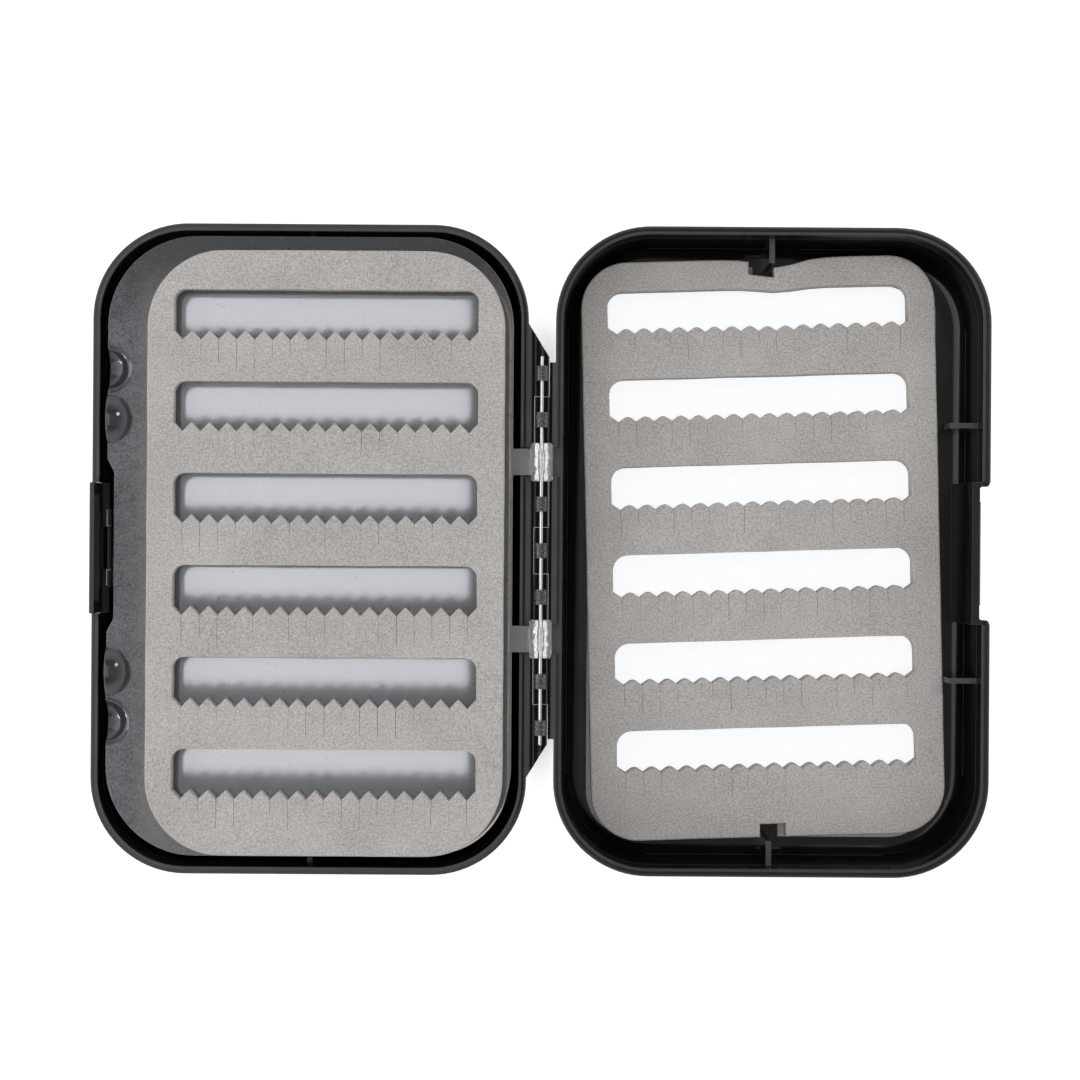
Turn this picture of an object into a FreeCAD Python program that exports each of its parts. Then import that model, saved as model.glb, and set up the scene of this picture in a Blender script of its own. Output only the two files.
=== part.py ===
import FreeCAD, Part
import math
import os

# A hinged fly box, lying open and flat: the base at -X, the lid at +X, a clear swing
# leaf on the same hinge pin, lying on the base. The hinge axis runs along Y over the
# origin, and both shells rest on z = 0. Every piece is drawn on the +X side, and the
# pieces of the base and of the leaf are then mirrored to -X. Lengths in millimetres.

# Shells, shared by the base and the lid
shell_length = 150.0
shell_width = 100.5
shell_depth = 18.0
wall = 1.75
floor_thickness = 2.4
wall_draft = 1.7
corner_radius = 22.0
outer_floor_radius = 6.0
inner_floor_radius = 3.0
rim_round = 0.3

# Rim: a raised lip on the base enters a rebate in the lid
lip_width = 0.75
lip_height = 0.6
lip_clearance = 0.1
parting_gap = 0.2

# Windows, set into the shell floors from outside
window_thickness = 1.5
window_recess = 0.2
window_ledge = 2.5
window_clearance = 0.1
window_corner_radius = 10.5

# Hinge pin and knuckles
hinge_reach = 3.1
pin_radius = 0.5
pin_end_chamfer = 0.15
pin_end_inset = 1.3
pin_snug_clearance = 0.01
pin_running_clearance = 0.05
knuckle_radius = 1.65
knuckle_gap = 0.1
knuckle_band = 3.4
trough_half_width = 1.4
trough_floor = 0.25
relief_half_width = 0.8
shell_knuckles = 7
hinge_end_margin = 0.7
gusset_run = 6.2
gusset_slope_run = 7.7
flange_clearance = 0.1
flange_ramp = 3.0
lid_flange_setback = 2.7

# Swing leaf
leaf_thickness = 1.5
leaf_latch_gap = 2.0
leaf_hinge_gap = 1.75
leaf_end_gap = 2.0
leaf_shift = 0.6
leaf_corner_radius = 20.5
leaf_knuckle_length = 8.6
leaf_knuckle_radius = 2.6
leaf_knuckle_round = 0.4
leaf_trough_half_width = 0.75
leaf_trough_run = 1.6
arm_width = 6.0
arm_side_clearance = 0.5
arm_floor_clearance = 0.3
leaf_notch_clearance = 1.05
leaf_notch_side_clearance = 0.45
leaf_notch_round = 1.0
leaf_shoulder_run = 3.0
dome_radius = 5.6
dome_height = 2.6
dome_gap = 0.2
dome_shoulder_gap = 3.65
dome_mouth_round = 1.2

# Foam pads and the adhesive frames under them
tape_thickness = 0.15
tape_inset = 0.4
slot_rows = 6
slot_valleys = 17

shell_pad_thickness = 5.0
shell_pad_hinge_margin = 5.8
shell_pad_latch_margin = 7.8
shell_pad_end_margin = 5.05
shell_pad_corner_radius = 11.0
shell_pad_side_ledge = 2.75
shell_pad_end_ledge = 4.5
shell_slot_side_margin = 6.25
base_slot_top_margin = 7.3
base_slot_bottom_margin = 14.2
lid_slot_top_margin = 6.8
lid_slot_bottom_margin = 15.85
shell_slot_height = 8.5
shell_slot_radius = 3.5
shell_tooth_height = 1.5

leaf_pad_thickness = 3.1
leaf_pad_corner_radius = 17.5
leaf_slot_side_margin = 6.1
leaf_slot_top_margin = 9.0
leaf_slot_bottom_margin = 12.85
leaf_slot_height = 9.4
leaf_slot_radius = 2.7
leaf_tooth_height = 2.1
front_pad_hinge_margin = 1.9
front_pad_latch_margin = 9.6
front_pad_top_margin = 3.55
front_pad_bottom_margin = 0.5
back_pad_hinge_margin = 0.5
back_pad_latch_margin = 11.0
back_pad_top_margin = 4.65
back_pad_bottom_margin = 0.3

# Locating ribs for the pads
rib_thickness = 1.25
rib_pad_gap = 0.9
rib_leaf_clearance = 0.45
end_rib_reach = 6.0
side_rib_offset = 29.7
notch_end_clearance = 2.15
notch_side_clearance = 2.4

# Latch tab, its pin and lugs on the base, and its recess and keeper on the lid
tab_width = 30.0
tab_thickness = 1.1
tab_inset = 0.4
tab_side_clearance = 0.1
tab_edge_round = 0.5
latch_open_angle = 60.0
pivot_drop = 5.0
pivot_offset = 1.4
lug_radius = 1.25
lug_spread = 5.2
lug_width = 3.8
lug_stem_face = 0.3
lug_side_clearance = 0.2
sill_clearance = 0.15
recess_depth = 2.5
recess_side_clearance = 0.4
recess_round = 0.6
recess_side_wall = 1.0
catch_half_width = 12.0
keeper_drop = 1.0
keeper_height = 1.0
keeper_reach = 0.65
hook_clearance = 0.1
hook_height = 2.2
hook_land = 0.7
hook_reach = 0.85

# Length by which every cut runs past the solid that it opens, and the edge-finding tolerance
cut_overrun = 1.0
edge_tolerance = 0.0001

# Places worked out from the sizes above
axis_height = shell_depth + parting_gap / 2
far_face = hinge_reach + shell_width
half_length = shell_length / 2
middle_width = hinge_reach + shell_width / 2
leaf_bottom = axis_height - leaf_thickness / 2
leaf_top = axis_height + leaf_thickness / 2

straight_half = half_length - corner_radius
hinge_half = straight_half - hinge_end_margin
knuckle_room = hinge_half - gusset_run - leaf_knuckle_length - 4 * knuckle_gap
knuckle_length = 2 * knuckle_room / shell_knuckles
centre_end = knuckle_length / 2
inner_start = centre_end + knuckle_gap
inner_end = inner_start + knuckle_length
leaf_start = inner_end + knuckle_gap
leaf_end = leaf_start + leaf_knuckle_length
outer_start = leaf_end + knuckle_gap
outer_end = outer_start + knuckle_length
last_start = outer_end + knuckle_gap
last_end = last_start + knuckle_length
leaf_knuckle_middle = (leaf_start + leaf_end) / 2
pin_half = last_end - pin_end_inset

rib_top = leaf_bottom - tape_thickness - leaf_pad_thickness - rib_leaf_clearance
pad_near = hinge_reach + wall + shell_pad_hinge_margin
pad_far = far_face - wall - shell_pad_latch_margin
pad_end = half_length - wall - shell_pad_end_margin
opening_near = pad_near + shell_pad_side_ledge
opening_far = pad_far - shell_pad_side_ledge
opening_end = pad_end - shell_pad_end_ledge

leaf_near = hinge_reach + wall + leaf_hinge_gap
leaf_far = far_face - wall - leaf_latch_gap
leaf_half_length = half_length - wall - leaf_end_gap
leaf_lower_end = leaf_shift - leaf_half_length
leaf_upper_end = leaf_shift + leaf_half_length

recess_face = far_face - recess_depth
jog_face = recess_face - wall
recess_half = tab_width / 2 + recess_side_clearance
jog_half = recess_half + recess_side_wall
leaf_notch_face = jog_face - leaf_notch_clearance
leaf_notch_half = jog_half + leaf_notch_side_clearance
leaf_shoulder_half = leaf_notch_half + leaf_shoulder_run
raised_dome_offset = leaf_shoulder_half + dome_shoulder_gap + dome_radius
sunk_dome_offset = raised_dome_offset + 2 * dome_radius + dome_gap

tab_outer = far_face - tab_inset
tab_inner = tab_outer - tab_thickness
pivot_x = tab_inner - pivot_offset
pivot_z = shell_depth - pivot_drop
hook_bottom = shell_depth + parting_gap + keeper_drop + keeper_height + hook_clearance
tab_top = hook_bottom + hook_height
lug_end = lug_spread + lug_width


def vector(x, y, z):
    return FreeCAD.Vector(x, y, z)


def box(x0, x1, y0, y1, z0, z1):
    return Part.makeBox(x1 - x0, y1 - y0, z1 - z0, vector(x0, y0, z0))


def rod(radius, y0, y1, x, z):
    return Part.makeCylinder(radius, y1 - y0, vector(x, y0, z), vector(0, 1, 0))


def outline(corners):
    """Closed wire at z = 0 through corners (x, y, radius), each rounded by its radius."""
    edges = []
    stops = []
    for index, (x, y, radius) in enumerate(corners):
        here = vector(x, y, 0)
        back = vector(*corners[index - 1][:2], 0) - here
        ahead = vector(*corners[(index + 1) % len(corners)][:2], 0) - here
        half_angle = back.getAngle(ahead) / 2
        back.normalize()
        ahead.normalize()
        reach = radius / math.tan(half_angle)
        start = here + back * reach
        end = here + ahead * reach
        if radius:
            bisector = (back + ahead).normalize()
            middle = here + bisector * (radius / math.sin(half_angle) - radius)
            edges.append(Part.Arc(start, middle, end).toShape())
        stops.append((start, end))
    for index, (start, end) in enumerate(stops):
        after = stops[(index + 1) % len(stops)][0]
        if (after - end).Length > edge_tolerance:
            edges.append(Part.LineSegment(end, after).toShape())
    return Part.Wire(Part.__sortEdges__(edges))


def slab(corners, bottom, top, holes=()):
    """Plate with vertical sides between two heights, with holes of the given outlines."""
    wires = [outline(corners)] + [outline(hole) for hole in holes]
    face = Part.makeFace(wires, "Part::FaceMakerBullseye")
    face.translate(vector(0, 0, bottom))
    return face.extrude(vector(0, 0, top - bottom))


def bar(points, y0, y1):
    """Bar along Y whose section is a polygon of (x, z) points."""
    path = [vector(x, y0, z) for x, z in points]
    face = Part.Face(Part.makePolygon(path + path[:1]))
    return face.extrude(vector(0, y1 - y0, 0))


def rounded(x0, x1, y0, y1, radius):
    """Corners of a rectangle, all with one radius."""
    return [(x0, y0, radius), (x1, y0, radius), (x1, y1, radius), (x0, y1, radius)]


def lean(height):
    """Distance by which the leaning walls stand in from the rim at a height."""
    return wall_draft * (shell_depth - height) / shell_depth


def tray_corners(inset):
    """Outline of a shell at the rim, drawn in from its outer face."""
    end = half_length - inset
    return rounded(hinge_reach + inset, far_face - inset, -end, end, corner_radius - inset)


def round_level_edges(solid, height, radius):
    """Fillet the edges that lie level at one height."""
    edges = []
    for edge in solid.Edges:
        limits = edge.BoundBox
        level = abs(limits.ZMin - height) + abs(limits.ZMax - height)
        if level < edge_tolerance:
            edges.append(edge)
    return solid.makeFillet(radius, edges)


def to_base_side(solid):
    return solid.mirror(vector(0, 0, 0), vector(1, 0, 0))


def write(solid, name):
    solid.removeSplitter().exportStep("parts/" + name + ".step")


def tray_block(inset, bottom, top):
    """Block between two heights with leaning sides, drawn in from a shell's outer face."""
    wires = []
    for height in (bottom, top):
        wire = outline(tray_corners(inset + lean(height)))
        wire.translate(vector(0, 0, height))
        wires.append(wire)
    return Part.makeLoft(wires, True, True)


def tray_blank():
    """Outer form of a shell: leaning walls, round corners, rounded floor and rim edges."""
    body = tray_block(0, 0, shell_depth)
    body = round_level_edges(body, 0, min(outer_floor_radius, shell_depth / 2))
    return round_level_edges(body, shell_depth, min(rim_round, (wall - lip_width) / 2))


def tray_cavity():
    """Inside of a shell, with a rounded floor edge."""
    cavity = tray_block(wall, floor_thickness, shell_depth + cut_overrun)
    return round_level_edges(cavity, floor_thickness, min(inner_floor_radius, shell_depth / 2))


def window_corners(clearance):
    """Outline of the window seat, or of the pane when drawn in by a clearance."""
    spread = window_ledge - clearance
    return rounded(
        opening_near - spread,
        opening_far + spread,
        -opening_end - spread,
        opening_end + spread,
        window_corner_radius + spread,
    )


def window_opening():
    """Opening in the floor, with a wider seat for the window cut from outside."""
    through = slab(
        rounded(opening_near, opening_far, -opening_end, opening_end, window_corner_radius),
        -cut_overrun,
        floor_thickness + cut_overrun,
    )
    seat = slab(window_corners(0), -cut_overrun, window_recess + window_thickness)
    return through.fuse(seat)


def end_ribs():
    """Two upright ribs on the end walls that locate the pad."""
    left = middle_width - rib_thickness / 2
    right = middle_width + rib_thickness / 2
    outer = half_length
    inner = half_length - wall - end_rib_reach
    upper = box(left, right, inner, outer, 0, rib_top)
    return upper.fuse(box(left, right, -outer, -inner, 0, rib_top))


def flange(half, ramp):
    """Strip along the hinge wall, level with the rim, that carries the knuckles."""
    edge = knuckle_radius + flange_clearance
    inside = hinge_reach + wall / 2
    bottom = axis_height - knuckle_radius
    strip = slab(
        [
            (inside, -half - ramp, 0),
            (hinge_reach, -half - ramp, 0),
            (edge, -half, 0),
            (edge, half, 0),
            (hinge_reach, half + ramp, 0),
            (inside, half + ramp, 0),
        ],
        bottom,
        shell_depth,
    )
    for side in (-1, 1):
        near, far = sorted((side * (leaf_start - knuckle_gap), side * (leaf_end + knuckle_gap)))
        strip = strip.cut(rod(leaf_knuckle_radius + flange_clearance, near, far, 0, axis_height))
    return strip


def arm_notches():
    """Gaps in the hinge wall through which the leaf's arms reach the pin."""
    half = arm_width / 2 + arm_side_clearance
    bottom = leaf_bottom - arm_floor_clearance
    inside = hinge_reach + wall + cut_overrun
    top = shell_depth + lip_height + cut_overrun
    gaps = []
    for middle in (-leaf_knuckle_middle, leaf_knuckle_middle):
        gaps.append(box(0, inside, middle - half, middle + half, bottom, top))
    return gaps[0].fuse(gaps[1])


def knuckle(start, end):
    """Barrel round the pin, joined to the hinge wall below the rim."""
    bottom = axis_height - knuckle_radius
    body = rod(knuckle_radius, start, end, 0, axis_height)
    return body.fuse(box(0, hinge_reach + wall / 2, start, end, bottom, shell_depth))


def knuckle_openings(start, end, band_middle, clearance):
    """Pin bore, open troughs at both ends of a bridge over the pin, and relief under it."""
    first_end = start - knuckle_gap / 2
    second_end = end + knuckle_gap / 2
    band_start = band_middle - knuckle_band / 2
    band_end = band_middle + knuckle_band / 2
    top = axis_height + knuckle_radius + cut_overrun
    bottom = axis_height - knuckle_radius - cut_overrun
    relief_top = axis_height - trough_floor
    width = trough_half_width
    bore = rod(pin_radius + clearance, first_end, second_end, 0, axis_height)
    first = box(-width, width, first_end, band_start, axis_height, top)
    second = box(-width, width, band_end, second_end, axis_height, top)
    relief = box(-relief_half_width, relief_half_width, band_start, band_end, bottom, relief_top)
    return bore.fuse([first, second, relief])


def lid_knuckle_spans():
    spans = [(-centre_end, centre_end, 0)]
    middle = (outer_start + outer_end) / 2
    spans.append((outer_start, outer_end, middle))
    spans.append((-outer_end, -outer_start, -middle))
    return spans


def base_knuckle_spans():
    spans = []
    inner_middle = (inner_start + inner_end) / 2
    last_middle = (last_start + last_end) / 2
    for side in (-1, 1):
        near, far = sorted((side * inner_start, side * inner_end))
        spans.append((near, far, side * inner_middle))
        near, far = sorted((side * last_start, side * hinge_half))
        spans.append((near, far, side * last_middle))
    return spans


def gusset_cuts():
    """Slanted ends of the outermost knuckles, running back to the hinge wall."""
    cuts = []
    inner = hinge_half - gusset_slope_run
    for side in (-1, 1):
        corners = [
            (-knuckle_radius, side * inner, 0),
            (hinge_reach, side * hinge_half, 0),
            (hinge_reach, side * (hinge_half + cut_overrun), 0),
            (-knuckle_radius - cut_overrun, side * (hinge_half + cut_overrun), 0),
            (-knuckle_radius - cut_overrun, side * inner, 0),
        ]
        top = axis_height + knuckle_radius + cut_overrun
        cuts.append(slab(corners, axis_height - knuckle_radius - cut_overrun, top))
    return cuts


def add_hinge(shell, strip, spans, clearance):
    """Join a flange and its knuckles to a shell, opened for the pin and the leaf's arms."""
    shell = shell.fuse([strip] + [knuckle(*span[:2]) for span in spans])
    for span in spans:
        shell = shell.cut(knuckle_openings(*span, clearance))
    return shell.cut(arm_notches())


def sill_height(x):
    """Height of the slanted sill under the latch tab, along the tab's face when fully open."""
    angle = math.radians(latch_open_angle)
    sweep = pivot_offset + tab_thickness
    return pivot_z - sweep / math.sin(angle) + (x - pivot_x) / math.tan(angle) - sill_clearance


def latch_notch():
    """Gap in the base wall where the latch tab stands."""
    half = tab_width / 2 + tab_side_clearance
    inside = far_face - wall - cut_overrun
    outside = far_face + cut_overrun
    top = shell_depth + lip_height + cut_overrun
    points = [
        (inside, sill_height(inside)),
        (outside, sill_height(outside)),
        (outside, top),
        (inside, top),
    ]
    return bar(points, -half, half)


def latch_lugs():
    """Two posts behind the tab, standing on the floor and footed in the wall."""
    back = pivot_x - lug_radius
    lugs = []
    for side in (-1, 1):
        near, far = sorted((side * lug_spread, side * lug_end))
        head = rod(lug_radius, near, far, pivot_x, pivot_z)
        stem = box(back, pivot_x + lug_stem_face, near, far, 0, pivot_z)
        foot_top = sill_height(far_face - wall) - sill_clearance
        foot = box(back, far_face, near, far, 0, foot_top)
        lugs.append(head.fuse([stem, foot]))
    bore_half = lug_end + cut_overrun
    bore = rod(pin_radius + pin_snug_clearance, -bore_half, bore_half, pivot_x, pivot_z)
    return lugs[0].fuse(lugs[1]).cut(bore)


def rim_ring(outer_inset, inner_inset, bottom, top):
    """Ring that follows the rim between two distances from the shell's outer face."""
    return slab(tray_corners(outer_inset), bottom, top, [tray_corners(inner_inset)])


def base_shell():
    """Base tray with the raised rim lip, its knuckles and the seat of the latch."""
    shell = tray_blank().cut(tray_cavity().cut([end_ribs(), latch_lugs()]))
    lip_top = shell_depth + lip_height
    shell = shell.fuse(rim_ring(wall - lip_width, wall, shell_depth, lip_top))
    strip = flange(last_end, flange_ramp)
    shell = add_hinge(shell, strip, base_knuckle_spans(), pin_snug_clearance)
    for cut in gusset_cuts():
        shell = shell.cut(cut)
    return to_base_side(shell.cut([latch_notch(), window_opening()]))


def latch_recess():
    """Recess in the lid's front wall that takes the tab, with rounded corners."""
    outside = far_face + cut_overrun
    mouth = recess_half + 2 * recess_round
    corners = [
        (outside, -mouth, 0),
        (far_face, -mouth, 0),
        (far_face - recess_round, -recess_half, recess_round),
        (recess_face, -recess_half, recess_round),
        (recess_face, recess_half, recess_round),
        (far_face - recess_round, recess_half, recess_round),
        (far_face, mouth, 0),
        (outside, mouth, 0),
    ]
    return slab(corners, -cut_overrun, shell_depth + cut_overrun)


def latch_keeper():
    """Wedge-shaped ridge on the recessed wall that the tab hooks over."""
    top = shell_depth - keeper_drop
    points = [
        (recess_face - wall / 2, top),
        (recess_face, top),
        (recess_face + keeper_reach, top - keeper_height),
        (recess_face - wall / 2, top - keeper_height),
    ]
    return bar(points, -catch_half_width, catch_half_width)


def side_ribs():
    """Two ribs on the lid's front wall beside the pad."""
    inner = pad_far + rib_pad_gap
    ribs = []
    for middle in (-side_rib_offset, side_rib_offset):
        near = middle - rib_thickness / 2
        far = middle + rib_thickness / 2
        ribs.append(box(inner, far_face, near, far, 0, rib_top))
    return ribs[0].fuse(ribs[1])


def lid_shell():
    """Lid tray with the rebated rim, its knuckles, the latch recess and the keeper."""
    jog_top = shell_depth + cut_overrun
    jog_points = [
        (jog_face - lean(0), 0),
        (far_face, 0),
        (far_face, jog_top),
        (jog_face - lean(jog_top), jog_top),
    ]
    jog = bar(jog_points, -jog_half, jog_half)
    shell = tray_blank().cut(tray_cavity().cut([jog, end_ribs(), side_ribs()]))
    rebate_outer = wall - lip_width - lip_clearance
    rebate_bottom = shell_depth - lip_height - lip_clearance
    rebate_top = shell_depth + cut_overrun
    shell = shell.cut(rim_ring(rebate_outer, wall + lip_clearance, rebate_bottom, rebate_top))
    strip = flange(last_end - lid_flange_setback, 0)
    shell = add_hinge(shell, strip, lid_knuckle_spans(), pin_running_clearance)
    shell = shell.cut(latch_recess()).fuse(latch_keeper())
    return shell.cut(window_opening())


def window():
    """Clear pane that lies against the ledge round the floor opening."""
    return slab(window_corners(window_clearance), window_recess, window_recess + window_thickness)


def slot_corners(near, far, top, height, tooth_height, radius):
    """Slot with two round corners at the top and a row of teeth along the lower edge."""
    tips = top - height
    half_pitch = (far - near) / (2 * slot_valleys)
    corners = [(near, top, radius), (far, top, radius), (far, tips, 0)]
    for count in range(slot_valleys):
        corners.append((far - (2 * count + 1) * half_pitch, tips - tooth_height, 0))
        corners.append((far - (2 * count + 2) * half_pitch, tips, 0))
    return corners


def slot_row_outlines(near, far, first_top, last_bottom, form):
    """Outlines of all slots of a pad, evenly spaced between its end margins."""
    height, tooth_height, radius = form
    pitch = (first_top - last_bottom - height - tooth_height) / (slot_rows - 1)
    slots = []
    for row in range(slot_rows):
        top = first_top - row * pitch
        slots.append(slot_corners(near, far, top, height, tooth_height, radius))
    return slots


def notched_corners(inset):
    """Outline of a shell pad, with a notch at each end for the locating rib."""
    half_notch = rib_thickness / 2 + notch_side_clearance + inset
    end = pad_end - inset
    notch_end = half_length - wall - end_rib_reach - notch_end_clearance - inset
    near = pad_near + inset
    far = pad_far - inset
    radius = shell_pad_corner_radius - inset
    left = middle_width - half_notch
    right = middle_width + half_notch
    lower = [(near, -end, radius), (left, -end, 0), (left, -notch_end, 0)]
    lower += [(right, -notch_end, 0), (right, -end, 0), (far, -end, radius)]
    return lower + [(x, -y, r) for x, y, r in reversed(lower)]


def shell_pad(slot_top_margin, slot_bottom_margin):
    """Foam pad on a shell floor, with its rows of toothed slots."""
    bottom = floor_thickness + tape_thickness
    slots = slot_row_outlines(
        pad_near + shell_slot_side_margin,
        pad_far - shell_slot_side_margin,
        pad_end - slot_top_margin,
        -pad_end + slot_bottom_margin,
        (shell_slot_height, shell_tooth_height, shell_slot_radius),
    )
    return slab(notched_corners(0), bottom, bottom + shell_pad_thickness, slots)


def shell_pad_tape():
    """Frame of adhesive film between a shell pad and the ledge round the window."""
    hole = rounded(
        opening_near + tape_inset,
        opening_far - tape_inset,
        -opening_end + tape_inset,
        opening_end - tape_inset,
        shell_slot_radius,
    )
    return slab(notched_corners(tape_inset), floor_thickness, floor_thickness + tape_thickness, [hole])


def leaf_plate():
    """Flat of the leaf, notched where the lid's latch recess stands into the box."""
    radius = leaf_corner_radius
    half = leaf_notch_half
    shoulder = leaf_shoulder_half
    corners = [
        (leaf_near, leaf_lower_end, radius),
        (leaf_far, leaf_lower_end, radius),
        (leaf_far, leaf_shift - shoulder, leaf_notch_round),
        (leaf_notch_face, leaf_shift - half, leaf_notch_round),
        (leaf_notch_face, leaf_shift + half, leaf_notch_round),
        (leaf_far, leaf_shift + shoulder, leaf_notch_round),
        (leaf_far, leaf_upper_end, radius),
        (leaf_near, leaf_upper_end, radius),
    ]
    return slab(corners, leaf_bottom, leaf_top)


def add_dome(leaf, offset, side):
    """Press a hollow half dome into the leaf's front edge, up or down."""
    sphere_radius = (dome_radius ** 2 + dome_height ** 2) / (2 * dome_height)
    centre_z = axis_height + side * (leaf_thickness / 2 + dome_height - sphere_radius)
    centre = vector(leaf_far, offset, centre_z)
    outer = Part.makeSphere(sphere_radius, centre)
    inner = Part.makeSphere(sphere_radius - leaf_thickness, centre)
    low, high = sorted((axis_height, axis_height + side * 2 * sphere_radius))
    room = box(
        leaf_far - 2 * sphere_radius,
        leaf_far,
        offset - 2 * sphere_radius,
        offset + 2 * sphere_radius,
        low,
        high,
    )
    leaf = leaf.fuse(outer.common(room)).cut(inner)
    mouth_z = axis_height - side * leaf_thickness / 2
    mouth = []
    for edge in leaf.Edges:
        limits = edge.BoundBox
        level = abs(limits.ZMin - mouth_z) + abs(limits.ZMax - mouth_z)
        in_dome = abs(limits.Center.y - offset) < dome_radius and limits.XMax > leaf_far - edge_tolerance
        if level < edge_tolerance and in_dome and limits.XLength > leaf_thickness:
            mouth.append(edge)
    return leaf.makeFillet(dome_mouth_round, mouth)


def leaf_knuckle(side):
    """Knuckle on an arm of the leaf, with short troughs over the pin at both ends."""
    start = side * leaf_knuckle_middle - leaf_knuckle_length / 2
    end = side * leaf_knuckle_middle + leaf_knuckle_length / 2
    barrel = rod(leaf_knuckle_radius, start, end, 0, axis_height)
    rims = [edge for edge in barrel.Edges if edge.BoundBox.YLength < edge_tolerance]
    barrel = barrel.makeFillet(leaf_knuckle_round, rims)
    half = arm_width / 2
    middle = side * leaf_knuckle_middle
    arm = box(0, leaf_near + wall, middle - half, middle + half, leaf_bottom, leaf_top)
    top = axis_height + leaf_knuckle_radius + cut_overrun
    width = leaf_trough_half_width
    first_end = start - cut_overrun
    second_end = end + cut_overrun
    bore = rod(pin_radius + pin_running_clearance, first_end, second_end, 0, axis_height)
    first = box(-width, width, first_end, start + leaf_trough_run, axis_height, top)
    second = box(-width, width, end - leaf_trough_run, second_end, axis_height, top)
    return barrel.fuse(arm).cut(bore.fuse([first, second]))


def swing_leaf():
    """Clear leaf on two arms, lying over the base."""
    leaf = leaf_plate()
    for side in (-1, 1):
        leaf = add_dome(leaf, leaf_shift + side * raised_dome_offset, 1)
        leaf = add_dome(leaf, leaf_shift + side * sunk_dome_offset, -1)
        leaf = leaf.fuse(leaf_knuckle(side))
    return to_base_side(leaf)


def leaf_pad_limits(hinge_margin, latch_margin, top_margin, bottom_margin):
    """Near and far sides, lower and upper ends of a pad on the leaf."""
    near = leaf_near + hinge_margin
    far = leaf_far - latch_margin
    return near, far, leaf_lower_end + bottom_margin, leaf_upper_end - top_margin


def leaf_pad(limits, bottom):
    """Foam pad on one face of the leaf."""
    near, far, lower, upper = limits
    slots = slot_row_outlines(
        near + leaf_slot_side_margin,
        far - leaf_slot_side_margin,
        upper - leaf_slot_top_margin,
        lower + leaf_slot_bottom_margin,
        (leaf_slot_height, leaf_tooth_height, leaf_slot_radius),
    )
    corners = rounded(near, far, lower, upper, leaf_pad_corner_radius)
    return to_base_side(slab(corners, bottom, bottom + leaf_pad_thickness, slots))


def leaf_pad_tape(limits, bottom):
    """Frame of adhesive film round the slots of a leaf pad."""
    near, far, lower, upper = limits
    side = leaf_slot_side_margin - tape_inset
    hole = rounded(
        near + side,
        far - side,
        lower + leaf_slot_bottom_margin - tape_inset,
        upper - leaf_slot_top_margin + tape_inset,
        leaf_slot_radius,
    )
    corners = rounded(
        near + tape_inset,
        far - tape_inset,
        lower + tape_inset,
        upper - tape_inset,
        leaf_pad_corner_radius - tape_inset,
    )
    return to_base_side(slab(corners, bottom, bottom + tape_thickness, [hole]))


def pin(half, x, z):
    """Straight pin along Y with chamfered ends."""
    body = rod(pin_radius, -half, half, x, z)
    rims = [edge for edge in body.Edges if edge.BoundBox.YLength < edge_tolerance]
    return body.makeChamfer(pin_end_chamfer, rims)


def latch_tab():
    """Tab that stands in the base wall, turns on its pin and hooks over the lid's keeper."""
    half = tab_width / 2
    plate = box(tab_inner, tab_outer, -half, half, pivot_z, tab_top)
    outer_edges = []
    for edge in plate.Edges:
        limits = edge.BoundBox
        upright_or_top = limits.ZLength > edge_tolerance or limits.ZMin > pivot_z + edge_tolerance
        if limits.XMin > tab_outer - edge_tolerance and upright_or_top:
            outer_edges.append(edge)
    plate = plate.makeFillet(min(tab_edge_round, tab_thickness / 2), outer_edges)
    hook_points = [
        (tab_inner + tab_thickness / 2, hook_bottom),
        (tab_inner - hook_reach, hook_bottom),
        (tab_inner - hook_reach, hook_bottom + hook_land),
        (tab_inner, tab_top),
        (tab_inner + tab_thickness / 2, tab_top),
    ]
    hook = bar(hook_points, -catch_half_width, catch_half_width)
    knuckle_half = lug_spread - lug_side_clearance
    barrel = rod(lug_radius, -knuckle_half, knuckle_half, pivot_x, pivot_z)
    web = box(
        pivot_x,
        tab_inner + tab_thickness / 2,
        -knuckle_half,
        knuckle_half,
        pivot_z,
        pivot_z + lug_radius,
    )
    bore = rod(pin_radius + pin_running_clearance, -half, half, pivot_x, pivot_z)
    return to_base_side(plate.fuse([hook, barrel, web]).cut(bore))


def build():
    os.makedirs("parts", exist_ok=True)
    front = leaf_pad_limits(
        front_pad_hinge_margin,
        front_pad_latch_margin,
        front_pad_top_margin,
        front_pad_bottom_margin,
    )
    back = leaf_pad_limits(
        back_pad_hinge_margin,
        back_pad_latch_margin,
        back_pad_top_margin,
        back_pad_bottom_margin,
    )
    back_tape_bottom = leaf_bottom - tape_thickness
    write(base_shell(), "base_shell")
    write(to_base_side(window()), "base_window")
    base_pad = shell_pad(base_slot_top_margin, base_slot_bottom_margin)
    write(to_base_side(base_pad), "base_pad")
    write(to_base_side(shell_pad_tape()), "base_pad_tape")
    write(lid_shell(), "lid_shell")
    write(window(), "lid_window")
    write(shell_pad(lid_slot_top_margin, lid_slot_bottom_margin), "lid_pad")
    write(shell_pad_tape(), "lid_pad_tape")
    write(swing_leaf(), "swing_leaf")
    write(leaf_pad(front, leaf_top + tape_thickness), "leaf_front_pad")
    write(leaf_pad_tape(front, leaf_top), "leaf_front_tape")
    write(leaf_pad(back, back_tape_bottom - leaf_pad_thickness), "leaf_back_pad")
    write(leaf_pad_tape(back, back_tape_bottom), "leaf_back_tape")
    write(pin(pin_half, 0, axis_height), "hinge_pin")
    write(latch_tab(), "latch_tab")
    write(to_base_side(pin(lug_end, pivot_x, pivot_z)), "latch_pin")


build()
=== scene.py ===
import math
import random
from types import SimpleNamespace

import bmesh
import bpy
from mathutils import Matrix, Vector, noise


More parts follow.
